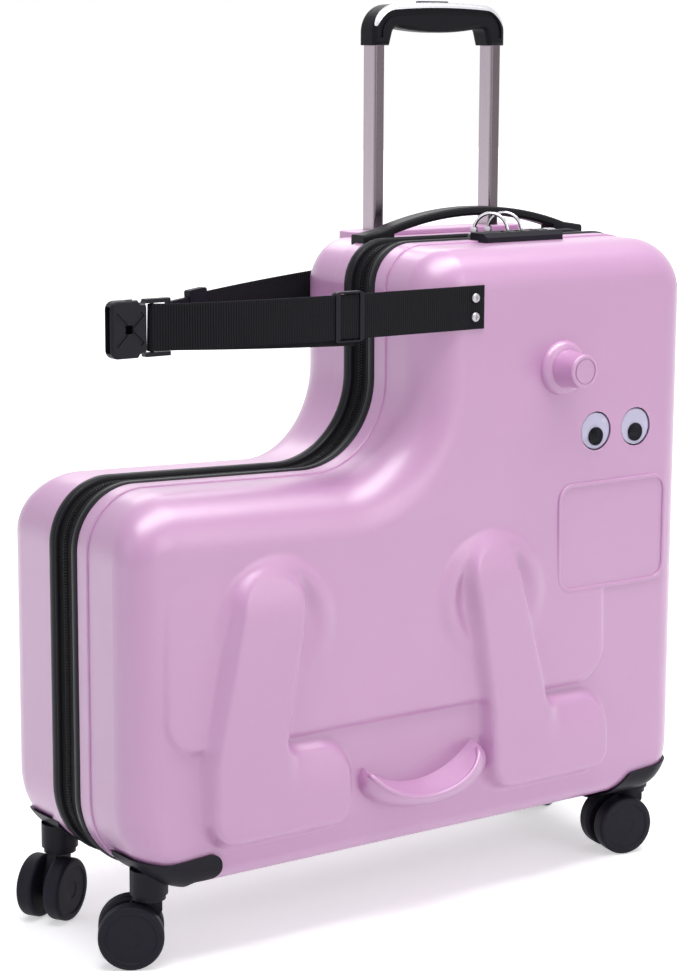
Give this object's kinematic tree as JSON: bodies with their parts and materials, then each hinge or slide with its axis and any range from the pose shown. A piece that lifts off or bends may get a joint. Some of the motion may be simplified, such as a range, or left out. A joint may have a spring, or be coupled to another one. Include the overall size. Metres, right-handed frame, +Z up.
{
  "type": "ride-on suitcase",
  "caption": "Hard ride-on suitcase in an animal outline with horn grips, footrests, seat belt, pull-up trolley handle, carry handle, dial lock and swivelling casters.",
  "frame": {"origin": "on the floor under the middle of the bounding box, in the zip plane", "axes": "+Z up, +X towards the tall head end, -Y towards the half that carries the lock"},
  "size_m": [0.624, 0.27, 0.7906],
  "materials": {
    "shell": "satin moulded plastic",
    "black_plastic": "satin black plastic",
    "piping": "soft vinyl",
    "zip_tape": "woven tape with nylon coil",
    "lining": "woven polyester",
    "webbing": "ribbed webbing",
    "chrome": "bright plated",
    "steel": "plain steel",
    "aluminium": "drawn tube",
    "eye_white": "gloss white",
    "eye_clear": "clear dome",
    "pupil": "gloss black",
    "wheel": "dense black polyurethane"
  },
  "bodies": {
    "far_half": {"far_shell": "shell", "far_piping": "piping", "far_zip_tape": "zip_tape", "far_lining": "lining", "hinge_cord": "zip_tape", "trolley_bezel": "black_plastic", "trolley_outer_tubes": "aluminium", "trolley_foot": "black_plastic", "carry_handle": "black_plastic", "far_belt": "webbing", "buckle_plug": "black_plastic", "far_belt_fixings": "chrome", "caster_bracket_far_rear": "black_plastic", "caster_bracket_far_front": "black_plastic", "far_eye_backs": "eye_white", "far_eye_lenses": "eye_clear"},
    "near_half": {"near_shell": "shell", "near_piping": "piping", "near_zip_tape": "zip_tape", "near_lining": "lining", "lock_body": "black_plastic", "zip_sliders": "chrome", "near_belt": "webbing", "belt_adjuster": "black_plastic", "near_belt_fixings": "chrome", "caster_bracket_near_rear": "black_plastic", "caster_bracket_near_front": "black_plastic", "near_eye_backs": "eye_white", "near_eye_lenses": "eye_clear"},
    "trolley": {"trolley_inner_tubes": "chrome", "trolley_grip": "black_plastic", "trolley_grip_trim": "chrome"},
    "trolley_button": {"trolley_button": "black_plastic"},
    "lock_release": {"lock_release": "chrome"},
    "buckle_socket": {"buckle_socket": "black_plastic"},
    "lock_dial_1": {"lock_dial_1": "black_plastic"},
    "lock_dial_2": {"lock_dial_2": "black_plastic"},
    "lock_dial_3": {"lock_dial_3": "black_plastic"},
    "zip_pull_rear": {"zip_pull_rear": "chrome"},
    "zip_pull_front": {"zip_pull_front": "chrome"},
    "near_eye_pupil_rear": {"near_eye_pupil_rear": "pupil"},
    "near_eye_pupil_front": {"near_eye_pupil_front": "pupil"},
    "far_eye_pupil_rear": {"far_eye_pupil_rear": "pupil"},
    "far_eye_pupil_front": {"far_eye_pupil_front": "pupil"},
    "caster_fork_near_rear": {"caster_fork_near_rear": "black_plastic", "caster_axle_near_rear": "steel"},
    "caster_wheel_near_rear_outer": {"caster_wheel_near_rear_outer": "wheel"},
    "caster_wheel_near_rear_inner": {"caster_wheel_near_rear_inner": "wheel"},
    "caster_fork_near_front": {"caster_fork_near_front": "black_plastic", "caster_axle_near_front": "steel"},
    "caster_wheel_near_front_outer": {"caster_wheel_near_front_outer": "wheel"},
    "caster_wheel_near_front_inner": {"caster_wheel_near_front_inner": "wheel"},
    "caster_fork_far_rear": {"caster_fork_far_rear": "black_plastic", "caster_axle_far_rear": "steel"},
    "caster_wheel_far_rear_outer": {"caster_wheel_far_rear_outer": "wheel"},
    "caster_wheel_far_rear_inner": {"caster_wheel_far_rear_inner": "wheel"},
    "caster_fork_far_front": {"caster_fork_far_front": "black_plastic", "caster_axle_far_front": "steel"},
    "caster_wheel_far_front_outer": {"caster_wheel_far_front_outer": "wheel"},
    "caster_wheel_far_front_inner": {"caster_wheel_far_front_inner": "wheel"}
  },
  "joints": [
    {"name": "case_open", "type": "hinge", "parent": "far_half", "child": "near_half", "pos_m": [0.3032, 0, 0.325], "axis": [0, 0, 1], "range_deg": [0, 160]},
    {"name": "trolley_slide", "type": "slide", "parent": "far_half", "child": "trolley", "axis": [0, 0, 1], "range_m": [-0.165, 0.2]},
    {"name": "trolley_button_press", "type": "slide", "parent": "trolley", "child": "trolley_button", "axis": [0, 0, 1], "range_m": [-0.004, 0], "stiffness_N_per_m": 400, "springref_m": 0.002},
    {"name": "lock_release_press", "type": "slide", "parent": "near_half", "child": "lock_release", "axis": [0, 0, 1], "range_m": [-0.002, 0], "stiffness_N_per_m": 300, "springref_m": 0.001},
    {"name": "buckle_socket_swing", "type": "hinge", "parent": "near_half", "child": "buckle_socket", "pos_m": [-0.262, -0.08105, 0.5305], "axis": [0, 0, 1], "range_deg": [-30, 30]},
    {"name": "lock_dial_1_turn", "type": "hinge", "parent": "near_half", "child": "lock_dial_1", "pos_m": [0.1314, -0.039, 0.58315], "axis": [1, 0, 0], "continuous": true},
    {"name": "lock_dial_2_turn", "type": "hinge", "parent": "near_half", "child": "lock_dial_2", "pos_m": [0.148, -0.039, 0.58315], "axis": [1, 0, 0], "continuous": true},
    {"name": "lock_dial_3_turn", "type": "hinge", "parent": "near_half", "child": "lock_dial_3", "pos_m": [0.1646, -0.039, 0.58315], "axis": [1, 0, 0], "continuous": true},
    {"name": "zip_pull_rear_lift", "type": "hinge", "parent": "near_half", "child": "zip_pull_rear", "pos_m": [0.128, 0, 0.5863], "axis": [-0.817, -0.5767, 0], "range_deg": [0, 80]},
    {"name": "zip_pull_front_lift", "type": "hinge", "parent": "near_half", "child": "zip_pull_front", "pos_m": [0.144, 0, 0.5863], "axis": [-0.817, -0.5767, 0], "range_deg": [0, 80]},
    {"name": "near_eye_pupil_rear_roll", "type": "hinge", "parent": "near_half", "child": "near_eye_pupil_rear", "pos_m": [0.188, -0.104, 0.411], "axis": [0, 1, 0], "continuous": true},
    {"name": "near_eye_pupil_front_roll", "type": "hinge", "parent": "near_half", "child": "near_eye_pupil_front", "pos_m": [0.2353, -0.104, 0.411], "axis": [0, 1, 0], "continuous": true},
    {"name": "far_eye_pupil_rear_roll", "type": "hinge", "parent": "far_half", "child": "far_eye_pupil_rear", "pos_m": [0.188, 0.104, 0.411], "axis": [0, 1, 0], "continuous": true},
    {"name": "far_eye_pupil_front_roll", "type": "hinge", "parent": "far_half", "child": "far_eye_pupil_front", "pos_m": [0.2353, 0.104, 0.411], "axis": [0, 1, 0], "continuous": true},
    {"name": "caster_swivel_near_rear", "type": "hinge", "parent": "near_half", "child": "caster_fork_near_rear", "pos_m": [-0.266, -0.075, 0.06], "axis": [0, 0, 1], "continuous": true},
    {"name": "caster_wheel_near_rear_outer_spin", "type": "hinge", "parent": "caster_fork_near_rear", "child": "caster_wheel_near_rear_outer", "pos_m": [-0.27886, -0.06727, 0.0275], "axis": [0.515, 0.8572, 0], "continuous": true},
    {"name": "caster_wheel_near_rear_inner_spin", "type": "hinge", "parent": "caster_fork_near_rear", "child": "caster_wheel_near_rear_inner", "pos_m": [-0.27886, -0.06727, 0.0275], "axis": [0.515, 0.8572, 0], "continuous": true},
    {"name": "caster_swivel_near_front", "type": "hinge", "parent": "near_half", "child": "caster_fork_near_front", "pos_m": [0.266, -0.075, 0.06], "axis": [0, 0, 1], "continuous": true},
    {"name": "caster_wheel_near_front_outer_spin", "type": "hinge", "parent": "caster_fork_near_front", "child": "caster_wheel_near_front_outer", "pos_m": [0.25128, -0.07214, 0.0275], "axis": [0.1908, 0.9816, 0], "continuous": true},
    {"name": "caster_wheel_near_front_inner_spin", "type": "hinge", "parent": "caster_fork_near_front", "child": "caster_wheel_near_front_inner", "pos_m": [0.25128, -0.07214, 0.0275], "axis": [0.1908, 0.9816, 0], "continuous": true},
    {"name": "caster_swivel_far_rear", "type": "hinge", "parent": "far_half", "child": "caster_fork_far_rear", "pos_m": [-0.266, 0.075, 0.06], "axis": [0, 0, 1], "continuous": true},
    {"name": "caster_wheel_far_rear_outer_spin", "type": "hinge", "parent": "caster_fork_far_rear", "child": "caster_wheel_far_rear_outer", "pos_m": [-0.27886, 0.06727, 0.0275], "axis": [-0.515, 0.8572, 0], "continuous": true},
    {"name": "caster_wheel_far_rear_inner_spin", "type": "hinge", "parent": "caster_fork_far_rear", "child": "caster_wheel_far_rear_inner", "pos_m": [-0.27886, 0.06727, 0.0275], "axis": [-0.515, 0.8572, 0], "continuous": true},
    {"name": "caster_swivel_far_front", "type": "hinge", "parent": "far_half", "child": "caster_fork_far_front", "pos_m": [0.266, 0.075, 0.06], "axis": [0, 0, 1], "continuous": true},
    {"name": "caster_wheel_far_front_outer_spin", "type": "hinge", "parent": "caster_fork_far_front", "child": "caster_wheel_far_front_outer", "pos_m": [0.27886, 0.08273, 0.0275], "axis": [0.515, -0.8572, 0], "continuous": true},
    {"name": "caster_wheel_far_front_inner_spin", "type": "hinge", "parent": "caster_fork_far_front", "child": "caster_wheel_far_front_inner", "pos_m": [0.27886, 0.08273, 0.0275], "axis": [0.515, -0.8572, 0], "continuous": true}
  ]
}
